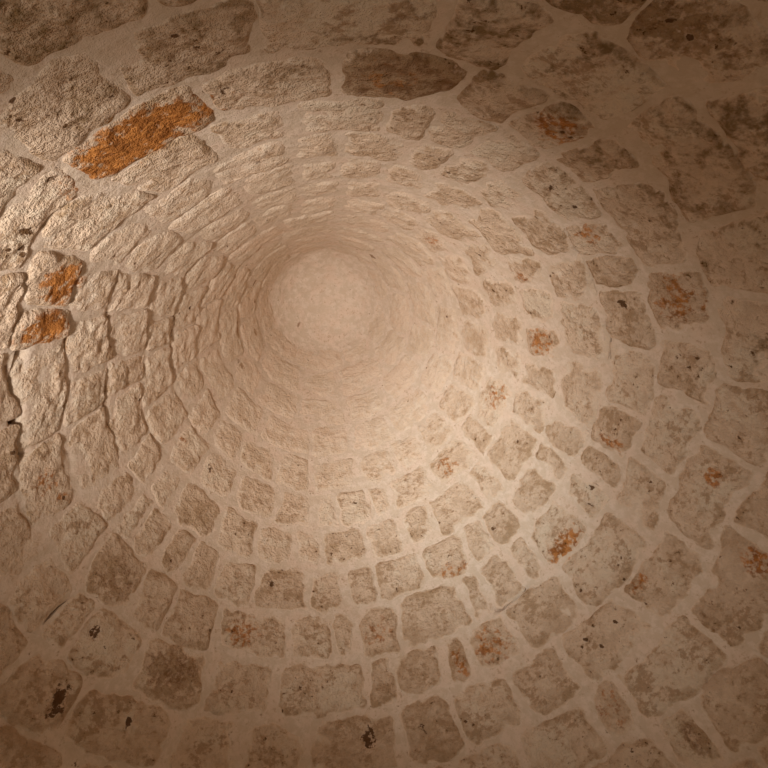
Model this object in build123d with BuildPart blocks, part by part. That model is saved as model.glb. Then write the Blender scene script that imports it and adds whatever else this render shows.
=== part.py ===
from build123d import *
import os
from math import cos, pi, radians, sin

# Conical dry-stone roof of a trullo, with its corbelled vault inside.
# Millimetres, Z up. The origin is at the middle of the flat underside,
# where the roof rests on the head of the round room's wall.

# Wall head: one ring of through stones that both skins stand on
springing_radius = 1700
wall_head_height = 150
wall_head_overlap = 25
wall_head_count = 28

# Corbelled vault: rings of stones, each ring reaching inward over the last
vault_courses = 20
course_height = 170
eye_radius = 130
vault_stone_width = 250
vault_stone_depth = 260
bed_lip = 15
fewest_stones = 6

# Upright joints of the rings that the mason's eye can follow, in degrees from +X
# towards +Y; the course number counts from the springing
upright_joints = {
    6: (10, 24, 38, 44.5, 58, 71, 84, 96, 109, 122, 134, 147, 160, 172, 184, 197,
        210, 222, 234, 247, 260, 272, 285, 297, 310, 322, 334, 347, 358),
    7: (10.3, 27.5, 45, 52, 66, 79, 92, 104, 118, 131, 143, 155, 168, 180, 192, 205,
        218, 229, 241, 253, 266, 279, 290, 302, 315, 328, 342, 356),
    8: (16.5, 33, 49.8, 62, 74.8, 86.5, 103.8, 116.2, 129, 146.5, 158.5, 172, 185, 198,
        211, 223, 235, 246.3, 259.3, 275.8, 285.3, 299.3, 318, 330.5, 345.7, 359),
    9: (8, 21.2, 41, 56.3, 67.5, 73.5, 84.5, 91, 111, 125, 140, 152.5, 158.5, 168, 180,
        193, 206, 219, 235, 251.7, 267, 282, 291.5, 300, 308.5, 326, 340, 352),
    10: (11, 18.7, 27.3, 41.4, 48.5, 57.6, 63.5, 81.2, 91.8, 98, 108.7, 126.3, 138, 146.4,
         160, 171, 186, 205, 212.6, 222.8, 236, 249.3, 261.3, 275.2, 282.2, 290.7, 299.8,
         314.8, 323, 330.5, 344, 359),
    11: (8.8, 18.2, 24.5, 39.3, 49, 56.6, 70.2, 84.5, 93.7, 104.4, 118.6, 129.7, 138.8,
         146.5, 154.5, 160.3, 168.3, 185.5, 196, 209.5, 220, 231.5, 245, 259.5, 269.3, 282,
         289.5, 298, 309, 322.3, 335.2, 350.3),
    12: (6, 17.7, 35.5, 44.4, 61.7, 73.2, 85.3, 99.8, 109, 121.4, 134.8, 150.5, 160, 170,
         186, 194.7, 208, 219, 231, 247.7, 260.7, 269.3, 280, 291.5, 305, 321.6, 331.6,
         343.9, 355.7),
    13: (7, 26.5, 35.5, 55, 73, 81, 94, 103, 116.3, 133.6, 148.7, 162.5, 177, 192.5, 203.5,
         217.5, 230.5, 245.7, 260.4, 272.5, 284.7, 299, 314.7, 328.5, 342, 355),
    14: (5, 20, 36, 51, 66, 84, 103.8, 119.3, 136.5, 152, 166, 181, 196, 212, 227, 243,
         258.5, 273, 288, 303, 318, 333, 349),
}

# Share of the mean width that stones take in turn in the other rings
width_rhythm = (1.0, 0.84, 1.14, 0.93, 1.09)

# Closing stone over the eye of the vault
closing_overlap = 130
closing_thickness = 120
closing_sides = 8

# Rubble between the vault and the roof slabs, thick at the foot and thin at the top
rubble_at_foot = 375
rubble_at_crown = 65
rubble_bands = 4
rubble_count = 16

# Roof skin: bands of flat slabs over the rubble, stepped back band by band
roof_bands = 12
roof_top_radius = 340
slab_depth = 180
band_step = 20
roof_band_count = 28

# Eaves: thin slabs that throw the rain clear of the wall
eaves_thickness = 60
eaves_projection = 110
eaves_count = 32

# Cap and pinnacle
cap_thickness = 90
cap_projection = 70
collar_height = 260
neck_radius = 120
neck_height = 260
neck_taper = 25
dish_radius = 230
dish_edge = 25
dish_height = 90
dish_seat_radius = 110
ball_radius = 150
ball_seat_radius = 70

# Open joint between the blocks of a ring, and the play between two skins
joint_gap = 6
skin_gap = 5

# Heights that follow from the sizes above
vault_base = wall_head_height
vault_top = vault_base + vault_courses * course_height
closing_top = vault_top + closing_thickness
roof_base = wall_head_height + eaves_thickness

os.makedirs("parts", exist_ok=True)


def write_piece(piece, name):
    """Label a finished piece and write it to its own file."""
    piece.part.label = name
    export_step(piece.part, f"parts/{name}.step")


def vault_face(z):
    """Radius of the vault's inner face line at height z."""
    rise = (z - vault_base) / (vault_top - vault_base)
    return springing_radius - rise * (springing_radius - eye_radius)


def vault_back(z):
    """Radius that the backs of the vault stones stay within."""
    return vault_face(z) + bed_lip + vault_stone_depth


def roof_back(z):
    """Radius that the roof slabs stay outside of: the rubble thins with height."""
    rise = (z - vault_base) / (vault_top - vault_base)
    return vault_back(z) + rubble_at_foot - rise * (rubble_at_foot - rubble_at_crown)


def roof_face(z):
    """Radius of the roof's outer line at height z."""
    return roof_back(z) + slab_depth


# The slabs end where the cone has narrowed to the cap's seat
roof_slope = (roof_face(vault_base) - roof_face(vault_top)) / (vault_top - vault_base)
roof_top = vault_top + (roof_face(vault_top) - roof_top_radius) / roof_slope
band_height = (roof_top - roof_base) / roof_bands


def wedge_block(low, high, half_angle):
    """One flat-faced block about +X; low and high are (z, inner radius, outer radius)."""
    flat = cos(half_angle)
    with BuildPart() as block:
        with BuildSketch(Plane.XZ):
            with BuildLine():
                Polyline(
                    (low[1], low[0]),
                    (low[2] * flat, low[0]),
                    (high[2] * flat, high[0]),
                    (high[1], high[0]),
                    close=True,
                )
            make_face()
        extrude(amount=max(low[2], high[2]), both=True)
        for side in (1, -1):
            across = Vector(-sin(half_angle), side * cos(half_angle), 0)
            split(bisect_by=Plane(origin=across * (-joint_gap / 2), z_dir=across), keep=Keep.BOTTOM)
    return block.part


def even_ring(name, low, high, count, turn=0):
    """A ring of equal blocks, turned so that its joints miss those of the ring below."""
    block = wedge_block(low, high, pi / count)
    with BuildPart() as ring:
        with PolarLocations(0, count, start_angle=turn):
            add(block)
    write_piece(ring, name)


def jointed_ring(name, low, high, joints):
    """A ring of blocks of different widths, one between each two upright joints."""
    blocks = []
    for start, end in zip(joints, joints[1:] + (joints[0] + 360,)):
        block = wedge_block(low, high, radians(end - start) / 2)
        blocks.append(block.rotate(Axis.Z, (start + end) / 2))
    with BuildPart() as ring:
        add(blocks)
    write_piece(ring, name)


def rhythm_joints(count, turn):
    """Joint angles of a ring whose stones take the widths of the rhythm in turn."""
    shares = [width_rhythm[(stone + int(turn)) % len(width_rhythm)] for stone in range(count)]
    return tuple(turn + 360 * sum(shares[:stone]) / sum(shares) for stone in range(count))


# Wall head: through stones from the vault's face to the outside of the wall
wall_head_face = roof_face(roof_base) + wall_head_overlap
even_ring(
    "wall_head_course",
    (0, springing_radius, wall_head_face),
    (wall_head_height, springing_radius, wall_head_face),
    wall_head_count,
)

# Vault courses: a stone's face leans with the cone and stops a lip short of the next bed
for course in range(1, vault_courses + 1):
    z_low = vault_base + (course - 1) * course_height
    z_high = z_low + course_height
    face_low = vault_face(z_low)
    face_high = vault_face(z_high) + bed_lip
    stones = max(fewest_stones, round(2 * pi * face_low / vault_stone_width))
    joints = upright_joints.get(course, rhythm_joints(stones, course * 180 / stones))
    jointed_ring(
        f"vault_course_{course:02d}",
        (z_low, face_low, face_low + vault_stone_depth),
        (z_high, face_high, face_high + vault_stone_depth),
        joints,
    )

# Closing stone: one flat slab that bears on the last ring
with BuildPart() as closing_stone:
    with BuildSketch(Plane.XY.offset(vault_top)):
        RegularPolygon(eye_radius + closing_overlap, closing_sides)
    extrude(amount=closing_thickness)
write_piece(closing_stone, "closing_stone")

# Rubble: packed stone between the vault's back and the roof slabs
rubble_height = (vault_top - vault_base) / rubble_bands
for band in range(rubble_bands):
    z_low = vault_base + band * rubble_height
    z_high = z_low + rubble_height
    even_ring(
        f"rubble_fill_{band + 1}",
        (z_low, vault_back(z_low) + skin_gap, roof_back(z_low) - skin_gap),
        (z_high, vault_back(z_high) + skin_gap, roof_back(z_high) - skin_gap),
        rubble_count,
    )

# Crown fill: the packed core over the closing stone, inside the last slabs
with BuildPart() as crown_fill:
    for z in (closing_top, roof_top):
        with BuildSketch(Plane.XY.offset(z)):
            RegularPolygon(roof_back(z) - skin_gap, closing_sides)
    loft()
write_piece(crown_fill, "crown_fill")

# Eaves: thin slabs laid on the wall head, with their noses out over the wall
eaves_nose = roof_face(roof_base) + eaves_projection
even_ring(
    "eaves_course",
    (wall_head_height, roof_back(wall_head_height), eaves_nose),
    (roof_base, roof_back(wall_head_height), eaves_nose),
    eaves_count,
)

# Roof bands: slabs bedded one on the other, each band set back behind the one below
for band in range(roof_bands):
    z_low = roof_base + band * band_height
    z_high = z_low + band_height
    even_ring(
        f"roof_band_{band + 1:02d}",
        (z_low, roof_back(z_low), roof_face(z_low)),
        (z_high, roof_back(z_high), roof_face(z_high) + band_step),
        roof_band_count,
        turn=band * 180 / roof_band_count,
    )

# Cap slab: a round flagstone that covers the top of the cone
with BuildPart() as cap_slab:
    with BuildSketch(Plane.XY.offset(roof_top)):
        Circle(roof_top_radius + cap_projection)
    extrude(amount=cap_thickness)
    chamfer(cap_slab.edges().filter_by(GeomType.CIRCLE).group_by(Axis.Z)[-1], length=cap_thickness / 3)
write_piece(cap_slab, "cap_slab")

# Collar and neck: the plastered foot of the pinnacle
collar_base = roof_top + cap_thickness
neck_base = collar_base + collar_height
dish_base = neck_base + neck_height
with BuildPart() as collar:
    with BuildSketch(Plane.XZ):
        with BuildLine():
            Polyline(
                (neck_radius, neck_base),
                (0, neck_base),
                (0, collar_base),
                (roof_top_radius, collar_base),
            )
            RadiusArc((roof_top_radius, collar_base), (neck_radius, neck_base), 2 * collar_height)
        make_face()
    revolve(axis=Axis.Z)
write_piece(collar, "pinnacle_collar")

with BuildPart() as neck:
    with BuildSketch(Plane.XY.offset(neck_base)):
        Circle(neck_radius)
    with BuildSketch(Plane.XY.offset(dish_base)):
        Circle(neck_radius - neck_taper)
    loft()
write_piece(neck, "pinnacle_neck")

# Dish: a turned stone disc that carries the ball
with BuildPart() as dish:
    with BuildSketch(Plane.XZ):
        with BuildLine():
            Polyline(
                (0, dish_base),
                (neck_radius - neck_taper, dish_base),
                (dish_radius, dish_base + (dish_height - dish_edge) / 2),
                (dish_radius, dish_base + (dish_height + dish_edge) / 2),
                (dish_seat_radius, dish_base + dish_height),
                (0, dish_base + dish_height),
                close=True,
            )
        make_face()
    revolve(axis=Axis.Z)
write_piece(dish, "pinnacle_dish")

# Ball: cut flat where it sits on the dish
ball_seat_drop = (ball_radius**2 - ball_seat_radius**2) ** 0.5
ball_centre = dish_base + dish_height + ball_seat_drop
with BuildPart() as ball:
    with Locations((0, 0, ball_centre)):
        Sphere(ball_radius)
    split(bisect_by=Plane.XY.offset(dish_base + dish_height), keep=Keep.TOP)
write_piece(ball, "pinnacle_ball")
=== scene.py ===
import bmesh
import bpy
import random
from math import atan2, ceil, cos, exp, pi, radians, sin
from mathutils import Matrix, Vector, noise


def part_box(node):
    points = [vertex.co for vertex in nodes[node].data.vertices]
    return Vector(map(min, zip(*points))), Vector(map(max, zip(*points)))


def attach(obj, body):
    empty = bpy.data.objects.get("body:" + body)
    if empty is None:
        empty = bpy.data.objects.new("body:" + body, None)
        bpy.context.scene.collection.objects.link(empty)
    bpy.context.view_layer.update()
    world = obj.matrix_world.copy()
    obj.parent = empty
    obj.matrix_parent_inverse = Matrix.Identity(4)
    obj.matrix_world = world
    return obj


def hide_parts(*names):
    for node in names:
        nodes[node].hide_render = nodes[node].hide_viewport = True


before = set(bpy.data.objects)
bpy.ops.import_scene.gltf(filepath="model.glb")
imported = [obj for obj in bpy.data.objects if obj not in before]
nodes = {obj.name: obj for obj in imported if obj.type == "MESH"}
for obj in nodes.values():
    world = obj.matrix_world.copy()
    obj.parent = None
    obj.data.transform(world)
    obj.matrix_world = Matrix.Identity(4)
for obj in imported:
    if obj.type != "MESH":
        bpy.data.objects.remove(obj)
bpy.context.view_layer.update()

# Wall head: one ring of through stones that the whole roof stands on. They are
# blocks of pale limestone, squared with a hammer and limewashed on both faces
# together with the room's wall.
limewashed_stone = (0.66, 0.560, 0.440, 1)
worn_stone = (0.46, 0.350, 0.245, 1)
grit_shadow = (0.34, 0.255, 0.175, 1)
head_arris = 7
head_swell = 0.006
broad_swell = 7
fine_swell = 22
head_cells = (7, 4, 12)
sharp_from = radians(48)


class Wave:
    """A shader value that Python's operators can combine."""

    def __init__(self, book, socket):
        self.book = book
        self.socket = socket

    def math(self, operation, other=0.0):
        return self.book.node("ShaderNodeMath", {"operation": operation}, {0: self, 1: other})

    def __add__(self, other):
        return self.math("ADD", other)

    def __sub__(self, other):
        return self.math("SUBTRACT", other)

    def __mul__(self, other):
        return self.math("MULTIPLY", other)

    def __rsub__(self, other):
        return self * -1.0 + other

    __radd__ = __add__
    __rmul__ = __mul__

    def ramp(self, low, high):
        """0 below low, 1 above high, and smooth between the two."""
        steps = {"interpolation_type": "SMOOTHSTEP"}
        return self.book.node("ShaderNodeMapRange", steps, {0: self, 1: low, 2: high, 3: 0.0, 4: 1.0})


class Finish:
    """A material, and the one method that adds nodes to it."""

    def __init__(self, name, roughness, gloss=0.06):
        self.material = bpy.data.materials.new(name)
        self.material.use_nodes = True
        self.tree = self.material.node_tree
        self.shader = self.tree.nodes["Principled BSDF"]
        self.shader.inputs["Roughness"].default_value = roughness
        self.shader.inputs["Specular IOR Level"].default_value = gloss
        self.place = self.node("ShaderNodeTexCoord", {}, {}, "Object")

    def node(self, kind, settings, values, output=0):
        made = self.tree.nodes.new(kind)
        for setting, value in settings.items():
            setattr(made, setting, value)
        for name, value in values.items():
            if isinstance(value, Wave):
                self.tree.links.new(value.socket, made.inputs[name])
            else:
                made.inputs[name].default_value = value
        return Wave(self, made.outputs[output])

    def noise(self, scale, detail=4.0, roughness=0.55, distortion=0.0, place=None):
        grain = {"Vector": place or self.place, "Scale": scale, "Detail": detail}
        grain.update({"Roughness": roughness, "Distortion": distortion})
        return self.node("ShaderNodeTexNoise", {}, grain)

    def cells(self, scale):
        return self.node("ShaderNodeTexVoronoi", {}, {"Vector": self.place, "Scale": scale}, "Distance")

    def mark(self, name):
        """A number that the mesh carries at each of its points."""
        return self.node("ShaderNodeAttribute", {"attribute_name": name}, {}, "Fac")

    def mix(self, share, first, second, how="MIX"):
        colours = {"data_type": "RGBA", "blend_type": how}
        return self.node("ShaderNodeMix", colours, {0: share, 6: first, 7: second}, 2)

    def close(self, colour, height, distance):
        bump = self.node("ShaderNodeBump", {}, {"Height": height, "Distance": distance}, "Normal")
        self.tree.links.new(colour.socket, self.shader.inputs["Base Color"])
        self.tree.links.new(bump.socket, self.shader.inputs["Normal"])
        return self.material


def limewashed_limestone():
    made = Finish("limewashed_limestone", 0.92)
    cloud = made.noise(4.0, 5.0, 0.6)
    blotch = made.noise(19.0, 6.0, 0.65, 0.5)
    grit = made.noise(140.0, 6.0, 0.7)
    worn = (blotch + cloud * 0.6).ramp(0.80, 0.98)
    colour = made.mix(worn * 0.8, limewashed_stone, worn_stone)
    colour = made.mix(grit.ramp(0.58, 0.72) * 0.3, colour, grit_shadow)
    return made.close(colour, grit * 0.3 + blotch - worn * 0.3, 0.006)


def blocks_of(name):
    """The blocks of a CAD ring: the angles, heights and radii of each one's corners."""
    bm = bmesh.new()
    bm.from_mesh(nodes[name].data)
    bmesh.ops.remove_doubles(bm, verts=bm.verts, dist=1e-5)
    found = []
    left = set(bm.verts)
    while left:
        stack = [left.pop()]
        corners = []
        while stack:
            corner = stack.pop()
            corners.append(corner.co.copy())
            for edge in corner.link_edges:
                other = edge.other_vert(corner)
                if other in left:
                    left.remove(other)
                    stack.append(other)
        corners.sort(key=lambda p: p.z)
        half = len(corners) // 2
        foot = sorted(corners[:half], key=lambda p: p.xy.length)
        head = sorted(corners[half:], key=lambda p: p.xy.length)
        inner_foot = (foot[0] + foot[1]) / 2
        inner_head = (head[0] + head[1]) / 2
        bearing = atan2(inner_foot.y, inner_foot.x)
        turned = Matrix.Rotation(-bearing, 3, "Z")
        sides = sorted(atan2((turned @ p).y, (turned @ p).x) for p in foot[:2])
        found.append(
            {
                "start": bearing + sides[0],
                "end": bearing + sides[1],
                "low": foot[0].z,
                "high": head[0].z,
                "inner_low": inner_foot.xy.length,
                "inner_high": inner_head.xy.length,
                "outer_low": foot[-1].xy.length,
                "outer_high": head[-1].xy.length,
            }
        )
    bm.free()
    return sorted(found, key=lambda block: block["start"])


def cut_cube(cells, nose_break=0.0):
    """A pattern block from -1 to 1, its faces cut into cells, that blocks are copied from."""
    bm = bmesh.new()
    bmesh.ops.create_cube(bm, size=2.0)
    for axis, count in enumerate(cells):
        along = [edge for edge in bm.edges if abs(edge.verts[0].co[axis] - edge.verts[1].co[axis]) > 1.9]
        bmesh.ops.subdivide_edges(bm, edges=along, cuts=count - 1, use_grid_fill=True)
    if nose_break:
        noses = [
            edge
            for edge in bm.edges
            if all(vert.co.y > 0.9 and abs(vert.co.z) > 0.9 for vert in edge.verts)
            and abs(edge.verts[0].co.x - edge.verts[1].co.x) > 0.1
        ]
        bmesh.ops.bevel(
            bm, geom=noses, offset=nose_break, affect="EDGES", segments=1, profile=0.5, material=-1
        )
    pattern = bpy.data.meshes.new("pattern_block")
    bm.to_mesh(pattern)
    bm.free()
    return pattern


def copy_block(bm, pattern):
    """Adds a copy of the pattern block and gives back its corners."""
    first = len(bm.verts)
    bm.from_mesh(pattern)
    bm.verts.ensure_lookup_table()
    return bm.verts[first:]


def own_seed(look):
    """A shift that gives each block its own part of the noise."""
    return Vector((look.uniform(0, 50), look.uniform(0, 50), look.uniform(0, 50)))


def hewn_block(bm, block, look, pattern, arris, swell):
    """A squared block in its place in a ring, with worn arrises and uneven faces."""
    seed = own_seed(look)
    tint = look.random()
    made = copy_block(bm, pattern)
    mark = bm.verts.layers.float["tint"]
    for vert in made:
        reach = max(abs(part) for part in vert.co)
        worn = vert.co * (reach / sum(abs(part) ** arris for part in vert.co) ** (1 / arris))
        across, deep, up = ((part + 1) / 2 for part in worn)
        angle = block["start"] + (block["end"] - block["start"]) * across
        inner = block["inner_low"] + (block["inner_high"] - block["inner_low"]) * up
        outer = block["outer_low"] + (block["outer_high"] - block["outer_low"]) * up
        radius = inner + (outer - inner) * deep
        height = block["low"] + (block["high"] - block["low"]) * up
        spot = Vector((radius * cos(angle), radius * sin(angle), height))
        sunk = Vector((cos(angle), sin(angle), 0)) * (-2 * swell * (2 * deep - 1))
        vert.co = spot + sunk + noise.noise_vector(spot * broad_swell + seed) * swell
        vert.co += noise.noise_vector(spot * fine_swell + seed) * swell / 2
        vert.co.z = max(vert.co.z, 0.0)
        vert[mark] = tint


def new_piece(*mark_names):
    bm = bmesh.new()
    return bm, {name: bm.verts.layers.float.new(name) for name in mark_names}


def fix_piece(bm, name, finish, replaced=()):
    """Turns a bmesh into a piece that rides on the roof."""
    bmesh.ops.recalc_face_normals(bm, faces=bm.faces)
    mesh = bpy.data.meshes.new(name)
    bm.to_mesh(mesh)
    bm.free()
    mesh.shade_smooth()
    mesh.set_sharp_from_angle(angle=sharp_from)
    mesh.materials.append(finish)
    piece = bpy.data.objects.new(name, mesh)
    bpy.context.scene.collection.objects.link(piece)
    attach(piece, "root")
    if replaced:
        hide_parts(*replaced)
    return piece


dice = random.Random(11)
noise.seed_set(11)
head_finish = limewashed_limestone()
bm, marks = new_piece("tint")
head_pattern = cut_cube(head_cells)
for block in blocks_of("wall_head_course"):
    hewn_block(bm, block, dice, head_pattern, head_arris, head_swell)
fix_piece(bm, "wall_head_stones", head_finish, ["wall_head_course"])

# Corbelled vault: rings of rough blocks laid dry, each ring leaning in over the last,
# and pointed flush with lime. The soft local stone is buff to grey, stained ochre by
# iron in places and pitted by old shells. The side over the lamp was left roughest.
buff_stone = (0.665, 0.485, 0.356, 1)
grey_stone = (0.57, 0.412, 0.296, 1)
pale_stone = (0.67, 0.530, 0.405, 1)
fleck_stone = (0.31, 0.186, 0.096, 1)
# Soil on the stones. The same colour is also painted at each stone's rolled edge as shade.
soil_and_edge_shade = (0.38, 0.252, 0.148, 1)
damp_stone = (0.19, 0.114, 0.046, 1)
ochre_stain = (0.48, 0.195, 0.055, 1)
dark_ochre = (0.25, 0.092, 0.026, 1)
# Dark brown of the brown marks. It is also painted into the bed grooves of the rough side as shade.
brown_mark_and_groove_shade = (0.19, 0.095, 0.040, 1)
pit_shadow = (0.090, 0.038, 0.012, 1)
bright_grain = (0.82, 0.69, 0.56, 1)
bedding = (1, 1, 1.5)
rock_relief = 0.019
fresh_lime = (0.64, 0.505, 0.398, 1)
dirty_lime = (0.55, 0.420, 0.312, 1)
peach_lime = (0.62, 0.452, 0.338, 1)
vault_rings = 20
cell = 0.0105
coarse_cell = 0.030
hidden_rings = 5
facet_count = 6
bed_wave = 0.016
joint_lean = 0.030
joint_inset = 0.0010
wide_joint_inset = 0.008
roll_width = 0.044
roll_depth = 0.0100
smear_height = 0.0037
groove_width = 0.008
groove_depth = 0.009
dent_depth = 0.007
stone_back = 0.070
rough_side = radians(200)
rough_spread = radians(36)
scale_tip = 0.0045
wiped_side = radians(238)
wiped_spread = radians(48)
wiped_from = 8.8
wiped_share = 0.55
damp_side = radians(290)
damp_spread = radians(62)
damp_top = 9.1
pale_from = 9.5
pale_over = 5.0
pale_share = 0.62
plastered_from = 13.0
plastered_over = 5.0
plaster_depth = 0.005

# Waves of the beds, the stones' edges, their faces and the pointing: scale and depth
bed_waves = ((1, 1.0), (2.6, 0.6), (8, 0.35))
side_waves = ((9, 0.013), (38, 0.004))
edge_waves = ((9, 0.008), (38, 0.004))
broad_lumps = ((9, 0.0025),)
bedded_lumps = ((20, 0.0036), (46, 0.0022))
mortar_waves = ((9, 0.0030), (27, 0.0015))

# Swells of the beds: bed, bearing, half width in degrees, and rise as a share of a
# course
bed_swells = (
    (7, 8, 9, 0.30),
    (8, 8, 10, 0.22),
    (9, 8, 10, 0.22),
    (9, 193, 8, 0.30),
    (9, 225, 8, -0.30),
    (10, 195, 9, 0.20),
    (10, 222, 9, -0.35),
    (11, 195, 9, 0.20),
    (11, 222, 9, -0.35),
    (12, 195, 9, 0.20),
    (12, 222, 9, -0.30),
    (13, 195, 9, 0.15),
    (13, 222, 9, -0.25),
)

# Upright joints that are wider than the rest, by course
wide_joints = {
    8: (33, 49.8, 275.8),
    9: (41, 67.5, 73.5, 111, 267),
    10: (27.3, 126.3, 160, 249.3, 261.3),
}

# Stains, dark brown marks and flaws: height in courses above the springing, bearing in
# degrees, half width and half height in metres, and strength
iron_stains = (
    (8.50, 243, 0.160, 0.066, 1.30),
    (8.50, 273, 0.060, 0.060, 0.45),
    (8.45, 296, 0.060, 0.050, 0.85),
    (8.50, 332, 0.090, 0.060, 0.65),
    (8.50, 62, 0.075, 0.055, 0.70),
    (8.45, 70.5, 0.030, 0.045, 0.80),
    (7.70, 4, 0.030, 0.025, 0.80),
    (7.75, 29, 0.045, 0.020, 0.90),
    (6.60, 12.5, 0.045, 0.035, 0.90),
    (6.50, 48, 0.050, 0.050, 0.50),
    (9.20, 35, 0.085, 0.035, 0.95),
    (9.50, 7.5, 0.030, 0.040, 0.70),
    (9.45, 87, 0.060, 0.050, 0.50),
    (9.50, 120, 0.065, 0.050, 0.70),
    (9.60, 174, 0.018, 0.020, 0.80),
    (9.45, 179, 0.040, 0.045, 0.70),
    (9.55, 208.5, 0.055, 0.065, 1.15),
    (9.50, 217.5, 0.065, 0.060, 1.10),
    (9.50, 317.5, 0.035, 0.050, 0.70),
    (10.20, 63, 0.080, 0.030, 0.60),
    (11.50, 350, 0.065, 0.055, 0.75),
    (11.60, 328.5, 0.030, 0.025, 0.60),
    (12.50, 14.5, 0.060, 0.050, 0.70),
    (12.45, 48.5, 0.050, 0.050, 0.55),
    (12.50, 160, 0.030, 0.012, 0.70),
    (13.50, 310.5, 0.030, 0.045, 0.60),
)
# Dark brown marks: patches low on the vault, and thin lines from course 15 up along the edge of the
# plastered top.
brown_marks = (
    (8.50, 275, 0.125, 0.078, 1.70),
    (8.50, 332, 0.090, 0.060, 0.60),
    (8.50, 132.5, 0.110, 0.065, 0.90),
    (8.50, 104, 0.050, 0.050, 0.60),
    (7.50, 272, 0.030, 0.060, 0.80),
    (7.50, 252, 0.070, 0.060, 0.60),
    (6.50, 293, 0.150, 0.060, 0.70),
    (9.50, 152, 0.085, 0.060, 0.70),
    (9.50, 66, 0.080, 0.050, 0.40),
    (5.50, 40, 0.060, 0.050, 0.80),
    (6.50, 26, 0.040, 0.050, 0.70),
    (12.45, 48.5, 0.050, 0.050, 0.60),
    (16.53, 210, 0.026, 0.012, 0.90),
    (16.84, 194, 0.024, 0.012, 1.00),
    (16.70, 168, 0.024, 0.012, 1.00),
    (15.86, 180, 0.045, 0.018, 1.00),
    (15.51, 160, 0.035, 0.016, 0.90),
    (19.02, 325, 0.020, 0.016, 0.90),
    (16.66, 311, 0.022, 0.016, 0.90),
    (18.30, 133, 0.012, 0.014, 0.70),
)
hollows = (
    (8.50, 150, 0.015, 0.017, 1.0),
    (7.50, 149.5, 0.030, 0.038, 0.8),
    (7.60, 92, 0.022, 0.026, 0.9),
    (7.50, 81.5, 0.009, 0.011, 0.9),
    (7.60, 137, 0.009, 0.009, 0.9),
    (7.55, 38, 0.007, 0.007, 1.0),
    (7.40, 43, 0.009, 0.007, 1.0),
    (7.65, 45, 0.006, 0.006, 1.0),
    (9.50, 20.5, 0.009, 0.012, 0.9),
    (9.40, 24, 0.007, 0.010, 0.9),
    (9.55, 305.5, 0.009, 0.009, 0.9),
    (9.45, 311, 0.009, 0.009, 0.9),
    (9.50, 334, 0.013, 0.011, 0.9),
    (10.50, 47, 0.009, 0.009, 0.9),
    (10.55, 114.5, 0.009, 0.009, 0.9),
    (12.50, 145, 0.013, 0.015, 0.8),
    (12.60, 87, 0.007, 0.007, 0.8),
    (12.40, 320, 0.007, 0.007, 0.8),
    (13.50, 248.5, 0.009, 0.009, 0.8),
    (13.45, 231, 0.009, 0.009, 0.8),
    (13.50, 205, 0.009, 0.009, 0.8),
    (8.60, 289, 0.007, 0.007, 0.9),
    (8.38, 225.5, 0.012, 0.012, 1.0),
    (8.50, 223, 0.010, 0.012, 1.0),
    (8.21, 233, 0.012, 0.009, 0.9),
    (8.35, 254, 0.010, 0.009, 0.9),
)
shelly_patches = (
    (8.50, 345, 0.080, 0.060, 0.8),
    (8.38, 226, 0.090, 0.055, 1.2),
    (8.21, 233, 0.080, 0.045, 1.1),
    (8.60, 240, 0.060, 0.045, 0.8),
    (7.50, 240, 0.100, 0.060, 0.8),
    (7.50, 252, 0.100, 0.070, 1.0),
    (7.50, 41, 0.130, 0.060, 0.7),
    (6.50, 293, 0.150, 0.060, 1.0),
    (10.50, 111, 0.090, 0.060, 0.8),
    (10.40, 63, 0.090, 0.050, 0.9),
    (10.50, 289, 0.060, 0.050, 0.7),
    (9.40, 335, 0.060, 0.050, 0.7),
    (8.50, 104, 0.080, 0.060, 0.7),
)

# Open joints where the pointing has dropped out: height, bearing and reach as above
open_joints = (
    (9.27, 194.5, 0.160, 0.014, 1.0),
    (9.05, 53, 0.075, 0.009, 0.8),
    (10.10, 4, 0.065, 0.008, 0.8),
    (9.95, 343.5, 0.060, 0.008, 0.8),
    (10.05, 326.5, 0.070, 0.008, 0.8),
    (13.10, 186, 0.045, 0.007, 0.8),
    (12.85, 222.5, 0.050, 0.007, 0.8),
    (8.50, 158.5, 0.006, 0.040, 0.5),
)


def lime_wash(made, cloud, trowel):
    """The mottled colour of the lime, in a joint or wiped over a stone."""
    colour = made.mix((cloud * 0.4 + trowel * 0.6).ramp(0.42, 0.60), dirty_lime, fresh_lime)
    return made.mix((cloud - trowel * 0.5).ramp(0.20, 0.38) * 0.7, colour, peach_lime)


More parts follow.
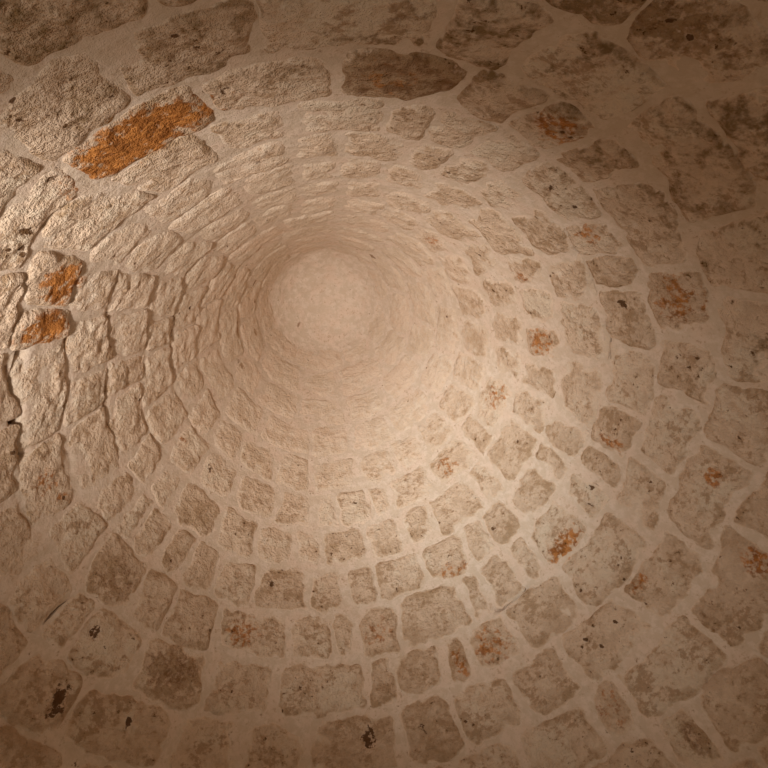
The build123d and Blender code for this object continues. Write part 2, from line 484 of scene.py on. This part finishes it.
def vault_limestone():
    made = Finish("vault_limestone", 0.95, gloss=0.0)
    cloud = made.noise(5.0, 3.0, 0.6)
    layers = made.node("ShaderNodeVectorMath", {"operation": "MULTIPLY"}, {0: made.place, 1: bedding})
    blotch = made.noise(15.0, 5.0, 0.68, place=layers)
    mottle = made.noise(28.0, 5.0, 0.72)
    fleck = made.noise(44.0, 5.0, 0.70, place=layers)
    grain = made.noise(190.0, 3.0, 0.75)
    dirt = made.noise(7.0, 4.0, 0.66, place=layers)
    crowd = made.noise(11.0, 2.0, 0.6)
    tint, lime, damp = made.mark("tint"), made.mark("lime"), made.mark("damp")
    iron, brown, rim = made.mark("iron"), made.mark("brown"), made.mark("rim")
    shelly, hollow = made.mark("shelly"), made.mark("hollow")
    crumb = made.noise(48.0, 4.0, 0.68)
    ragged = (mottle - 0.5) * 2.0 + (crumb - 0.5) * 2.6
    mellow = (blotch * 0.5 + mottle * 0.5 + (0.5 - tint) * 0.08).ramp(0.43, 0.57)
    colour = made.mix(mellow, grey_stone, buff_stone)
    faded = (cloud * 0.7 + mottle * 0.7 - tint * 0.18).ramp(0.62, 0.78)
    colour = made.mix(faded * 0.75, colour, pale_stone)
    flecks = (fleck + blotch * 0.4 + (crowd - 0.5) * 0.7).ramp(0.715, 0.865)
    colour = made.mix(flecks * 0.65, colour, fleck_stone)
    soiled = (dirt + fleck * 0.6 - 0.3 + (tint - 0.5) * 0.16).ramp(0.45, 0.76)
    colour = made.mix(soiled * 0.62, colour, soil_and_edge_shade)
    # Painted shade: each stone darkens towards its edge, where its face rolls back under the pointing.
    painted_edge_shade = (rim * 1.2 - 0.35 + ragged * 0.5 + (crowd - 0.5) * 2.4).ramp(0.0, 0.7) * rim.ramp(0.1, 0.5)
    colour = made.mix(painted_edge_shade * 0.5, colour, soil_and_edge_shade)
    wet = (damp - 0.60 + ragged * 0.9 + (dirt - 0.5) * 3.2).ramp(0.0, 0.9) * damp.ramp(0.02, 0.3)
    colour = made.mix(wet * 0.85, colour, damp_stone)
    # Brown marks, and painted shade in the bed grooves of the rough side, both carried by the brown mark.
    umber = (brown - 0.42 + ragged * 0.7).ramp(0.0, 0.5) * brown.ramp(0.05, 0.3)
    colour = made.mix(umber * 0.85, colour, made.mix(mottle.ramp(0.4, 0.6), brown_mark_and_groove_shade, soil_and_edge_shade))
    film = (lime - 0.30 + ragged * 0.45 - umber * 0.8).ramp(0.0, 0.65)
    colour = made.mix(film * 0.95, colour, lime_wash(made, cloud, mottle))
    rust = (iron - 0.42 + ragged * 1.3).ramp(0.0, 0.6) * iron.ramp(0.05, 0.3)
    ochre = made.mix((fleck * 0.7 + blotch * 0.5).ramp(0.50, 0.70), ochre_stain, dark_ochre)
    colour = made.mix(rust * (iron * 0.5 + 0.45).ramp(0.0, 1.0), colour, ochre)
    shells = 1 - (made.cells(24.0) + (crumb - 0.5) * 0.9).ramp(0.05, 0.15)
    shells = shells * (crowd + shelly * 0.18 - film * 0.04).ramp(0.60, 0.64)
    voids = (fleck + mottle * 0.5 + shelly * 0.05 - film * 0.04).ramp(0.93, 0.98)
    pitted = (hollow + ragged * 1.3).ramp(0.45, 0.75) * hollow.ramp(0.05, 0.3)
    dark = (shells + voids + pitted).ramp(0.0, 1.0)
    colour = made.mix(dark * 0.9, colour, pit_shadow)
    colour = made.mix(grain.ramp(0.30, 0.72) * 0.2, colour, bright_grain, "OVERLAY")
    rock = (blotch - 0.5) * 1.2 + (mottle - 0.5) * 1.3
    return made.close(colour, rock * (1 - lime.ramp(0.1, 0.9) * 0.5), rock_relief)


def turn_between(angle, centre):
    """The shorter way round the ring from centre to angle."""
    return (angle - centre + pi) % (2 * pi) - pi


def near(angle, centre, spread):
    """1 at centre and falling to 0 over spread, whichever way round the ring."""
    return exp(-((turn_between(angle, centre) / spread) ** 2))


def clamped(share):
    return min(1.0, max(0.0, share))


def uneven(spot, waves, seed=Vector()):
    """Noise of several scales, each with its own depth, added up."""
    return sum(noise.noise(spot * scale + seed) * depth for scale, depth in waves)


rings = [blocks_of(f"vault_course_{ring + 1:02d}") for ring in range(vault_rings)]
springing_height = rings[0][0]["low"]
vault_top = rings[-1][0]["high"]
ring_height = (vault_top - springing_height) / vault_rings
springing_radius = rings[0][0]["inner_low"]
last_bed = vault_top - ring_height
face_slope = (springing_radius - rings[-1][0]["inner_low"]) / (last_bed - springing_height)


def on_vault(angle, height, proud):
    """A point that stands proud of the vault's face line, towards the inside."""
    radius = springing_radius - face_slope * (height - springing_height) - proud
    return Vector((radius * cos(angle), radius * sin(angle), height))


def course_of(height):
    return (height - springing_height) / ring_height


def mark_at(patches, spot):
    """How strongly the nearest of the patches reaches a point of the vault."""
    angle, course = atan2(spot.y, spot.x), course_of(spot.z)
    strength = 0.0
    for level, bearing, half_width, half_height, depth in patches:
        up = (course - level) * ring_height / half_height
        if abs(up) < 2:
            across = turn_between(angle, radians(bearing)) * spot.xy.length / half_width
            if abs(across) < 2:
                strength = max(strength, depth * exp(-((across**2 + up**2) ** 2) / 2))
    return strength


def bed_height(bed, angle):
    """Height of a bed joint: level by eye, with the swells of the rough side."""
    if bed <= 0 or bed >= vault_rings:
        return springing_height + bed * ring_height
    around = Vector((cos(angle) * 1.7, sin(angle) * 1.7, bed * 2.3))
    wave = uneven(around, bed_waves) * bed_wave * (1 + 0.9 * near(angle, rough_side, rough_spread))
    for level, bearing, spread, rise in bed_swells:
        if level == bed:
            wave += rise * ring_height * near(angle, radians(bearing), radians(spread))
    return springing_height + bed * ring_height + wave


def joint_angle(ring, angle, up):
    """An upright joint leans a little to one side as it rises."""
    lean = joint_lean * noise.noise(Vector((cos(angle) * 9, sin(angle) * 9, ring * 3.1)))
    return angle + lean * (up - 0.5) * 2


def joint_room(ring, angle, look):
    """Half the width of the pointing at an upright joint."""
    for bearing in wide_joints.get(ring + 1, ()):
        if near(angle, radians(bearing), radians(1)) > 0.3:
            return wide_joint_inset
    return joint_inset * look.uniform(0.6, 1.4)


def pointing_stand(angle, spot):
    """How far the pointing stands proud of the face line, with a groove at the rough beds."""
    course = course_of(spot.z)
    over = clamped((course - plastered_from) / plastered_over)
    gap = (spot.z - bed_height(round(course), angle) + noise.noise(spot * 24) * 0.008) / groove_width
    groove = exp(-(gap**2)) * near(angle, rough_side, rough_spread) * (1 - over)
    groove *= clamped(0.45 + 1.5 * noise.noise(spot * 4) + 1.2 * noise.noise(spot * 11))
    return uneven(spot, mortar_waves) + plaster_depth * over - groove_depth * groove, groove


def dampness(angle, height):
    """Rain has soaked the foot of the vault at one side."""
    return near(angle, damp_side, damp_spread) * clamped(damp_top - course_of(height))


def lay_stone(bm, marks, ring, block, look):
    """One rough block between its two upright joints and its two beds, its face rolling
    back under the pointing at the edges."""
    middle = (block["start"] + block["end"]) / 2
    radius = (block["inner_low"] + block["inner_high"]) / 2
    width = (block["end"] - block["start"]) * radius
    size = coarse_cell if ring < hidden_rings else cell
    columns, rows = max(4, ceil(width / size)), max(4, ceil(ring_height / size))
    side = near(middle, rough_side, rough_spread)
    far_side = near(middle, damp_side, damp_spread)
    rugged = max(side, 0.8 * far_side)
    narrowed = 1 - 0.5 * far_side if ring < damp_top else 1.0
    roll = roll_width * narrowed
    proud = look.uniform(0.0060, 0.0098)
    tip = scale_tip * look.uniform(0.5, 1.3) * side
    facets = []
    for facet in range(facet_count):
        facets.append((look.uniform(0, 0.003), look.gauss(0, 0.0035), look.gauss(0, 0.003)))
    corner = look.uniform(6.0, 14.0)
    rooms = [joint_room(ring, block[end], look) for end in ("start", "end")]
    seed = own_seed(look)
    tint = look.random()
    shelly = max(0.0, look.gauss(0.1, 0.35))
    made = bmesh.ops.create_grid(bm, x_segments=columns, y_segments=rows, size=1.0)["verts"]
    for vert in made:
        u, w = (part * 0.55 + sin(part * pi / 2) * 0.45 for part in vert.co.xy)
        reach = max(abs(u), abs(w), 1e-6)
        rounding = reach / (abs(u) ** corner + abs(w) ** corner + 1e-90) ** (1 / corner)
        beside = (1 - abs(u)) * width / 2 / (1 - 0.6 * side) + 1e-4
        above = (1 - abs(w)) * ring_height / 2 * (1 + 1.0 * side) + 1e-4
        edge = (beside**-3 + above**-3) ** (-1 / 3)
        across, up = (u * rounding + 1) / 2, (w * rounding + 1) / 2
        start = joint_angle(ring, block["start"], up) + rooms[0] / radius
        end = joint_angle(ring, block["end"], up) - rooms[1] / radius
        angle = start + (end - start) * across
        low = bed_height(ring, angle) + joint_inset
        high = bed_height(ring + 1, angle) - joint_inset
        height = low + (high - low) * up
        spot = on_vault(angle, height, 0)
        angle += uneven(spot, side_waves, seed) / radius
        height += uneven(spot, edge_waves, -seed)
        dent = mark_at(hollows, spot)
        mortar, groove = pointing_stand(angle, spot)
        fall = max(0.0, 1 - edge / (roll * (1 + 0.7 * noise.noise(spot * 15 + seed))))
        split = min(base + lean * u + rise * w for base, lean, rise in facets)
        bedded = Vector((spot.x, spot.y, spot.z * (1 + 1.3 * side)))
        lumps = uneven(spot, broad_lumps, seed) + uneven(bedded, bedded_lumps, seed)
        lumps *= 1.25 + rugged
        course = course_of(height)
        over = clamped((course - plastered_from) / plastered_over)
        stand = proud + (tip * (w + 0.2) + split * (0.55 + 0.6 * rugged) + lumps) * (1 - 0.6 * over)
        stand -= roll_depth * fall * fall * (1 - 0.4 * over)
        vert.co = on_vault(angle, height, stand - dent_depth * dent)
        wiped = wiped_share * near(angle, wiped_side, wiped_spread) * clamped(course - wiped_from)
        wiped += pale_share * clamped((course - pale_from) / pale_over)
        smear = clamped(1 - (stand - mortar) / (smear_height * narrowed))
        vert[marks["lime"]] = smear * 1.2 + over * 0.45 + wiped
        vert[marks["tint"]] = tint
        vert[marks["rim"]] = fall
        vert[marks["damp"]] = dampness(angle, height) * (0.6 + 0.6 * tint)
        vert[marks["iron"]] = mark_at(iron_stains, spot)
        # The bed groove of the rough side is painted brown here as shade in the groove.
        vert[marks["brown"]] = max(mark_at(brown_marks, spot), groove * 1.1)
        vert[marks["shelly"]] = max(shelly, mark_at(shelly_patches, spot)) * (1 - over)
        vert[marks["hollow"]] = dent
    border = [edge for edge in {edge for vert in made for edge in vert.link_edges} if edge.is_boundary]
    sunk = bmesh.ops.extrude_edge_only(bm, edges=border)["geom"]
    for part in sunk:
        if isinstance(part, bmesh.types.BMVert):
            part.co += Vector((part.co.x, part.co.y, 0)).normalized() * stone_back
    rear = [part for part in sunk if isinstance(part, bmesh.types.BMEdge) and part.is_boundary]
    bmesh.ops.contextual_create(bm, geom=rear)


vault_finish = vault_limestone()
for ring, blocks in enumerate(rings):
    bm, marks = new_piece("lime", "tint", "rim", "damp", "iron", "brown", "shelly", "hollow")
    for block in blocks:
        lay_stone(bm, marks, ring, block, dice)
    course = f"{ring + 1:02d}"
    fix_piece(bm, f"vault_stones_{course}", vault_finish, [f"vault_course_{course}"])

# Pointing: lime mortar pushed into the joints and struck off flush with a trowel,
# then wiped thinly over the top of the vault. One skin runs behind all the stones,
# so it shows between them, and it closes over the eye under the closing stone.
pointing_sides = 250
pointing_rows = 360
pointing_depth = 0.055
missing_depth = 0.045
dome_foot = 0.42
dome_steps = 28
dome_swell = 0.009
dome_dents = 0.0035
mortar_grit = (0.40, 0.290, 0.195, 1)
mortar_relief = 0.008


def lime_mortar():
    made = Finish("lime_mortar", 0.95, gloss=0.0)
    trowel = made.noise(30.0, 5.0, 0.68)
    blotch = made.noise(15.0, 4.0, 0.68)
    fleck = made.noise(52.0, 5.0, 0.76)
    grit = made.noise(150.0, 3.0, 0.7)
    ragged = (blotch - 0.5) * 1.6 + (fleck - 0.5) * 2.0
    colour = lime_wash(made, blotch, trowel)
    colour = made.mix((fleck + blotch * 0.4).ramp(0.76, 0.88) * 0.45, colour, fleck_stone)
    # Brown marks, and painted shade in the bed grooves of the rough side.
    brown = made.mark("brown")
    umber = (brown - 0.42 + ragged * 0.7).ramp(0.0, 0.5) * brown.ramp(0.05, 0.3)
    damp = made.mark("damp")
    colour = made.mix((damp + ragged * 0.6).ramp(0.1, 0.9) * 0.22, colour, soil_and_edge_shade)
    colour = made.mix(umber * 0.8, colour, brown_mark_and_groove_shade)
    colour = made.mix(grit.ramp(0.60, 0.74) * 0.3, colour, mortar_grit)
    specks = (fleck + trowel * 0.5).ramp(0.93, 0.98)
    dark = (specks * 0.7 + made.mark("hollow").ramp(0.2, 0.7)).ramp(0.0, 1.0)
    colour = made.mix(dark * 0.9, colour, pit_shadow)
    return made.close(colour, trowel * 0.6 + fleck * 0.5, mortar_relief)


mortar_finish = lime_mortar()
bm, marks = new_piece("hollow", "brown", "damp")
dome_low = vault_top - dome_foot
profile = [
    bm.verts.new(on_vault(0, springing_height + (dome_low - springing_height) * row / pointing_rows, 0))
    for row in range(pointing_rows + 1)
]
foot_radius = profile[-1].co.x - plaster_depth
lean = atan2(face_slope, 1)
dome_radius = foot_radius / cos(lean)
for step in range(1, dome_steps + 1):
    turn = lean + (pi / 2 - lean) * step / dome_steps
    height = dome_low + dome_radius * (sin(turn) - sin(lean))
    profile.append(bm.verts.new((foot_radius - dome_radius * (cos(lean) - cos(turn)), 0, height)))
profile.append(bm.verts.new((0, 0, vault_top)))
profile += [bm.verts.new(on_vault(0, height, -pointing_depth)) for height in (vault_top, springing_height)]
off_axis = [pair for pair in zip(profile, profile[1:] + profile[:1]) if pair[0].co.x + pair[1].co.x > 1e-6]
outline = [bm.edges.new(pair) for pair in off_axis]
bmesh.ops.spin(
    bm, geom=profile + outline, axis=(0, 0, 1), cent=(0, 0, 0), angle=2 * pi,
    steps=pointing_sides, use_merge=True,
)
bmesh.ops.remove_doubles(bm, verts=bm.verts, dist=1e-4)
for vert in bm.verts:
    angle, spot = atan2(vert.co.y, vert.co.x), vert.co.copy()
    vert[marks["brown"]] = mark_at(brown_marks, spot) * (course_of(spot.z) > plastered_from)
    if spot.z <= dome_low + 1e-4 and spot.xy.length < on_vault(0, spot.z, -pointing_depth / 2).x:
        missing, behind = mark_at(open_joints, spot), mark_at(hollows, spot)
        stand, groove = pointing_stand(angle, spot)
        vert.co = on_vault(angle, spot.z, stand - missing_depth * max(missing, behind))
        vert[marks["damp"]] = dampness(angle, spot.z)
        vert[marks["hollow"]] = missing
        # The bed groove of the rough side is painted brown in the pointing as shade in the groove.
        vert[marks["brown"]] = max(vert[marks["brown"]], groove * 1.1)
    elif spot.z < vault_top and spot.xy.length < foot_radius:
        vert.co += noise.noise_vector(spot * 9) * dome_swell + noise.noise_vector(spot * 26) * dome_dents
fix_piece(bm, "vault_pointing", mortar_finish)

# Closing stone: one round limestone flag laid over the eye of the vault. Its edge is
# broken by hammer, and its face is limed from below together with the pointing.
flag_sides = 48
flag_arris = 0.012
flag_insets = 6
edge_breaks = ((3.1, 0.035), (14, 0.015))


def flagstone(bm, marks, low, high, radius, look):
    """A round flag with a broken edge, its faces dressed flat."""
    place = Matrix.Translation((0, 0, (low + high) / 2))
    made = bmesh.ops.create_cone(
        bm,
        cap_ends=True,
        segments=flag_sides,
        radius1=radius,
        radius2=radius,
        depth=high - low,
        matrix=place,
    )["verts"]
    faces = {face for vert in made for face in vert.link_faces}
    rims = {edge for face in faces if len(face.verts) > 4 for edge in face.edges}
    bmesh.ops.bevel(
        bm, geom=list(rims), offset=flag_arris, affect="EDGES", segments=3, profile=0.5, material=-1
    )
    caps = [face for face in bm.faces if len(face.verts) > 4]
    for step in range(flag_insets):
        bmesh.ops.inset_individual(bm, faces=caps, thickness=radius / 8)
        caps = [face for face in bm.faces if len(face.verts) > 4]
    seed = own_seed(look)
    for vert in bm.verts:
        share = vert.co.xy.length / radius
        broken = (abs(noise.noise(vert.co * scale + seed)) * depth for scale, depth in edge_breaks)
        vert.co.xy *= 1 - sum(broken)
        vert.co.z += noise.noise(vert.co * 6 + seed) * 0.004 * (1 - share)
        vert[marks["tint"]] = 0.5


bm, marks = new_piece("tint", "hollow")
closing_low, closing_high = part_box("closing_stone")
flagstone(bm, marks, closing_low.z, closing_high.z, closing_high.x, dice)
fix_piece(bm, "closing_flag", mortar_finish, ["closing_stone"])

# Rubble: small stones and chips packed dry between the vault's back and the roof
# slabs. The slabs cover it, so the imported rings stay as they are.
chip_colour = (0.50, 0.40, 0.29, 1)
# Painted shade: the gaps between the dry chips are coloured dark as shade between them.
painted_gap_shade = (0.24, 0.185, 0.135, 1)
dust_colour = (0.40, 0.33, 0.25, 1)


def rubble_stone():
    made = Finish("packed_rubble", 0.95)
    chips = made.cells(14.0)
    dust = made.noise(30.0, 6.0, 0.65)
    # Painted shade in the gaps between chips.
    colour = made.mix(chips.ramp(0.1, 0.6), chip_colour, painted_gap_shade)
    colour = made.mix(dust.ramp(0.4, 0.7) * 0.5, colour, dust_colour)
    return made.close(colour, dust - chips, 0.02)


rubble_finish = rubble_stone()
for name in nodes:
    if name.startswith("rubble_fill") or name == "crown_fill":
        nodes[name].data.materials.clear()
        nodes[name].data.materials.append(rubble_finish)

# Roof slabs: thin flags of grey limestone, bedded dry in rings with their split edges
# outwards, each ring set back behind the one below. The eaves are longer flags that
# throw the rain clear. Weather has greyed them, and lichen grows on the old ones.
fresh_slab = (0.50, 0.455, 0.380, 1)
grey_slab = (0.30, 0.285, 0.255, 1)
dark_slab = (0.150, 0.142, 0.128, 1)
orange_lichen = (0.46, 0.285, 0.085, 1)
pale_lichen = (0.55, 0.550, 0.480, 1)
slab_grain = (0.80, 0.76, 0.70, 1)
slab_thickness = 0.062
slab_width = 0.30
fewest_slabs = 9
slab_joint = 0.006
bed_gap = 0.002
back_gap = 0.004
slab_jitter = 0.014
slab_cells = (4, 1, 1)
slab_arris = 0.007
slab_break = 0.22
eaves_cells = (9, 8, 3)
eaves_arris = 9
eaves_swell = 0.005


def roof_limestone():
    made = Finish("roof_limestone", 0.9)
    cloud = made.noise(2.2, 5.0, 0.6)
    blotch = made.noise(16.0, 6.0, 0.65, 0.4)
    grain = made.noise(110.0, 7.0, 0.7)
    crust = made.noise(38.0, 6.0, 0.6, 0.6)
    spots = made.noise(9.0, 5.0, 0.55, 0.8)
    tint = made.mark("tint")
    colour = made.mix((tint * 0.8 + blotch * 0.5).ramp(0.30, 0.85), grey_slab, fresh_slab)
    colour = made.mix((cloud + blotch * 0.5 - tint * 0.25).ramp(0.66, 0.90) * 0.75, colour, dark_slab)
    colour = made.mix((crust + spots * 0.7).ramp(0.98, 1.08) * 0.7, colour, pale_lichen)
    colour = made.mix((crust * 0.6 + spots - tint * 0.1).ramp(0.96, 1.04) * 0.7, colour, orange_lichen)
    colour = made.mix(grain.ramp(0.3, 0.75) * 0.3, colour, slab_grain, "OVERLAY")
    return made.close(colour, grain * 0.4 + blotch + crust * 0.4, 0.008)


def lay_slab(bm, pattern, start, end, low, high, back, nose, look):
    """One thin flag, its nose a little ragged and its arrises broken."""
    seed = own_seed(look)
    tint, push, sag = look.random(), look.uniform(-slab_jitter, 0), look.uniform(-0.004, 0.002)
    made = copy_block(bm, pattern)
    mark = bm.verts.layers.float["tint"]
    for vert in made:
        across, deep, up = ((part + 1) / 2 for part in vert.co)
        angle = start + (end - start) * across
        radius = back if deep < 0.5 else nose + push - (1 - deep) * 2 * slab_arris / slab_break
        height = low + (high - low) * up + sag * (2 * across - 1)
        spot = Vector((radius * cos(angle), radius * sin(angle), height))
        ragged = noise.noise(spot * 11 + seed) * slab_jitter if deep > 0.5 else 0
        vert.co = spot + Vector((cos(angle), sin(angle), 0)) * min(ragged, -push)
        vert[mark] = tint


roof_finish = roof_limestone()
bm, marks = new_piece("tint")
eaves_pattern = cut_cube(eaves_cells)
for block in blocks_of("eaves_course"):
    hewn_block(bm, block, dice, eaves_pattern, eaves_arris, eaves_swell)
fix_piece(bm, "eaves_slabs", roof_finish, ["eaves_course"])

slab_pattern = cut_cube(slab_cells, slab_break)
bands = [name for name in sorted(nodes) if name.startswith("roof_band_")]
for name in bands:
    band = blocks_of(name)[0]
    layers = round((band["high"] - band["low"]) / slab_thickness)
    thick = (band["high"] - band["low"]) / layers
    bm, marks = new_piece("tint")
    for layer in range(layers):
        rise = (layer + 0.5) / layers
        low = band["low"] + thick * layer
        nose = band["outer_low"] + (band["outer_high"] - band["outer_low"]) * rise
        back = band["inner_low"] + (band["inner_high"] - band["inner_low"]) * layer / layers + back_gap
        count = max(fewest_slabs, round(2 * pi * nose / slab_width))
        shares = [dice.uniform(0.65, 1.35) for slab in range(count)]
        turn = dice.uniform(0, 2 * pi)
        for slab in range(count):
            start = turn + 2 * pi * sum(shares[:slab]) / sum(shares)
            end = start + 2 * pi * shares[slab] / sum(shares) - slab_joint / nose
            lay_slab(bm, slab_pattern, start, end, low, low + thick - bed_gap, back, nose, dice)
    fix_piece(bm, f"roof_slabs_{name[-2:]}", roof_finish, [name])

# Cap slab: one round limestone flag, bedded on the last ring of slabs. It sheds the
# rain from the top of the cone and carries the pinnacle.
bm, marks = new_piece("tint")
cap_low, cap_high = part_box("cap_slab")
flagstone(bm, marks, cap_low.z, cap_high.z, cap_high.x, dice)
fix_piece(bm, "cap_flag", roof_finish, ["cap_slab"])

# Pinnacle: a plastered collar and neck that carry a turned stone dish and ball, all
# limewashed. The wash is brushed on thickly, and rain has streaked it grey.
whitewash = (0.72, 0.705, 0.660, 1)
rain_streak = (0.46, 0.440, 0.395, 1)
grime = (0.30, 0.280, 0.240, 1)
pinnacle_sides = 72
longest_edge = 0.03
plaster_unevenness = 0.004
rounded_arris = 0.010
collar_rim = 0.03
collar_sweep = 14
flare_power = 1.7
neck_taper = 0.8
dish_rim = 0.0125
ball_steps = 28


def limewash():
    made = Finish("limewash", 0.85)
    drift = made.noise(3.5, 5.0, 0.6)
    brush = made.noise(24.0, 6.0, 0.6, 1.0)
    grain = made.noise(120.0, 6.0, 0.65)
    worn = (drift + brush * 0.5).ramp(0.80, 1.02)
    colour = made.mix(worn * 0.7, whitewash, rain_streak)
    colour = made.mix(grain.ramp(0.62, 0.75) * 0.25, colour, grime)
    return made.close(colour, brush + grain * 0.3 - worn * 0.3, 0.004)


wash_finish = limewash()


def turned_piece(name, node, points, rounded):
    """A piece turned about the axis from a half profile, its arrises rounded."""
    bm = bmesh.new()
    line = [bm.verts.new((radius, 0, height)) for radius, height in points]
    for pair in zip(line, line[1:]):
        bm.edges.new(pair)
    if rounded:
        bmesh.ops.bevel(
            bm, geom=line[1:-1], offset=rounded, affect="VERTICES", segments=3, profile=0.5, material=-1
        )
    bmesh.ops.subdivide_edges(bm, edges=[e for e in bm.edges if e.calc_length() > longest_edge], cuts=3)
    bmesh.ops.spin(
        bm, geom=list(bm.verts) + list(bm.edges), axis=(0, 0, 1), cent=(0, 0, 0), angle=2 * pi,
        steps=pinnacle_sides, use_merge=True,
    )
    bmesh.ops.remove_doubles(bm, verts=bm.verts, dist=1e-4)
    for vert in bm.verts:
        swell = noise.noise(vert.co * 5) * plaster_unevenness - plaster_unevenness / 2
        vert.co.xy *= 1 + swell / max(vert.co.xy.length, 0.05)
    return fix_piece(bm, name, wash_finish, [node])


collar_low, collar_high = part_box("pinnacle_collar")
neck_low, neck_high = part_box("pinnacle_neck")
dish_low, dish_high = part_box("pinnacle_dish")
ball_low, ball_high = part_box("pinnacle_ball")
neck_radius = neck_high.x
collar_points = [(0, collar_low.z), (collar_high.x, collar_low.z)]
for step in range(collar_sweep + 1):
    share = step / collar_sweep
    flare = (1 - share) ** flare_power
    height = collar_low.z + collar_rim + (collar_high.z - collar_low.z - collar_rim) * share
    collar_points.append((neck_radius + (collar_high.x - neck_radius) * flare, height))
collar_points.append((0, collar_high.z))
turned_piece("limed_collar", "pinnacle_collar", collar_points, 0)
turned_piece(
    "limed_neck", "pinnacle_neck",
    [
        (0, neck_low.z),
        (neck_radius, neck_low.z),
        (neck_radius * neck_taper, neck_high.z),
        (0, neck_high.z),
    ],
    0,
)
dish_middle = (dish_low.z + dish_high.z) / 2
turned_piece(
    "limed_dish", "pinnacle_dish",
    [
        (0, dish_low.z),
        (neck_radius * neck_taper, dish_low.z),
        (dish_high.x, dish_middle - dish_rim),
        (dish_high.x, dish_middle + dish_rim),
        (dish_high.x / 2, dish_high.z),
        (0, dish_high.z),
    ],
    rounded_arris,
)
ball_radius = ball_high.x
ball_centre = ball_high.z - ball_radius
ball_points = []
for step in range(ball_steps + 1):
    turn = pi * step / ball_steps
    height = max(ball_low.z, ball_centre - ball_radius * cos(turn))
    ball_points.append((ball_radius * sin(turn), height))
turned_piece("limed_ball", "pinnacle_ball", ball_points, 0)

# Studio: a pale floor with an opening as wide as the room, so that soft light comes
# up into the vault as it does from a pale room, and a pale backdrop all round.
floor_reach = 60.0
floor_sides = 96
floor_colour = (0.78, 0.77, 0.75, 1)
floor_finish = Finish("pale_floor", 0.8)
floor_finish.shader.inputs["Base Color"].default_value = floor_colour
bm = bmesh.new()
for rim in (springing_radius, floor_reach):
    bmesh.ops.create_circle(bm, segments=floor_sides, radius=rim)
bmesh.ops.bridge_loops(bm, edges=list(bm.edges))
floor_mesh = bpy.data.meshes.new("floor")
bm.to_mesh(floor_mesh)
bm.free()
floor_mesh.materials.append(floor_finish.material)
floor = bpy.data.objects.new("floor", floor_mesh)
bpy.context.scene.collection.objects.link(floor)

sky_light = 0.75
room_light = 0.33
sky_colour = (0.97, 0.98, 1.0, 1)
room_colour = (1.0, 0.78, 0.56, 1)
backdrop_colour = (0.90, 0.90, 0.89, 1)
horizon_blur = 0.02


class Sky(Finish):
    """The world's light and backdrop, made by the same method as a material."""

    def __init__(self, name):
        self.world = bpy.data.worlds.new(name)
        self.world.use_nodes = True
        # An even sky needs no sampling as a lamp, and a render is quicker without it.
        self.world.cycles.sampling_method = "NONE"
        self.tree = self.world.node_tree

    def ray(self, kind):
        return self.node("ShaderNodeLightPath", {}, {}, f"Is {kind} Ray")

    def light(self, colour, strength):
        return self.node("ShaderNodeBackground", {}, {"Color": colour, "Strength": strength})

    def show(self, shader):
        self.tree.links.new(shader.socket, self.tree.nodes["World Output"].inputs["Surface"])
        bpy.context.scene.world = self.world


sky = Sky("studio")
direction = sky.node("ShaderNodeTexCoord", {}, {}, "Generated")
upward = sky.node("ShaderNodeSeparateXYZ", {}, {0: direction}, "Z")
above = sky.node("ShaderNodeMapRange", {}, {0: upward, 1: -horizon_blur, 2: horizon_blur})
glow = sky.light(sky.mix(above, room_colour, sky_colour), above * (sky_light - room_light) + room_light)
seen = sky.ray("Camera").math("MAXIMUM", sky.ray("Glossy")).math("MAXIMUM", sky.ray("Transmission"))
sky.show(sky.node("ShaderNodeMixShader", {}, {0: seen, 1: glow, 2: sky.light(backdrop_colour, 1.0)}))

# Lamps: a cluster of soft beams from one place low at one side of the room, aimed
# across at the far side of the vault, and one large lamp over the roof outside. Each
# beam has the bearing and course that it is aimed at, its spread, its watts and colour.
room_lamp_bearing = radians(213)
room_lamp_radius = 1.12
room_lamp_height = 0.48
beam_source = 0.08
roof_lamp_place = Vector((-9, -10, 16))
roof_lamp_target = Vector((0, 0, 2))
roof_lamp_power = 1500
roof_lamp_colour = (1.0, 0.98, 0.95)
roof_lamp_size = 9.0
beams = (
    (345, 18, 70, 128, (1.0, 0.98, 0.94)),
    (30, 12, 70, 74, (1.0, 0.98, 0.94)),
    (80, 15, 70, 46, (1.0, 0.96, 0.90)),
    (46, 12, 36, 88, (0.80, 0.95, 1.0)),
    (240, 8, 80, 9, (1.0, 0.96, 0.90)),
)


def add_lamp(name, kind, place, target, power, colour, **settings):
    data = bpy.data.lights.new(name, kind)
    data.energy = power
    data.color = colour
    for setting, value in settings.items():
        setattr(data, setting, value)
    lamp = bpy.data.objects.new(name, data)
    bpy.context.scene.collection.objects.link(lamp)
    lamp.location = place
    lamp.rotation_euler = (target - place).to_track_quat("-Z", "Y").to_euler()


lamp_place = Matrix.Rotation(room_lamp_bearing, 3, "Z") @ Vector((room_lamp_radius, 0, room_lamp_height))
for bearing, course, spread, power, colour in beams:
    lit = on_vault(radians(bearing), springing_height + course * ring_height, 0)
    add_lamp(
        f"beam_{bearing}", "SPOT", lamp_place, lit, power, colour,
        spot_size=radians(spread), spot_blend=1.0, shadow_soft_size=beam_source,
    )
add_lamp(
    "roof_lamp", "AREA", roof_lamp_place, roof_lamp_target, roof_lamp_power, roof_lamp_colour,
    shape="DISK", size=roof_lamp_size,
)

# Camera: inside, a little above the springing and off the axis, looking up at the top
# of the vault a little to one side, with a wide lens.
camera_place = (-0.197, -0.970, 0.33)
camera_tilt = radians(27.7)
camera_lean = radians(10.9)
camera_data = bpy.data.cameras.new("camera")
camera_data.lens = 24.7
camera_data.sensor_width = 36
camera_data.clip_start = 0.01
camera = bpy.data.objects.new("camera", camera_data)
bpy.context.scene.collection.objects.link(camera)
camera.location = camera_place
camera.rotation_euler = (pi - camera_tilt, camera_lean, 0)
bpy.context.scene.camera = camera
bpy.context.scene.view_settings.view_transform = "Standard"
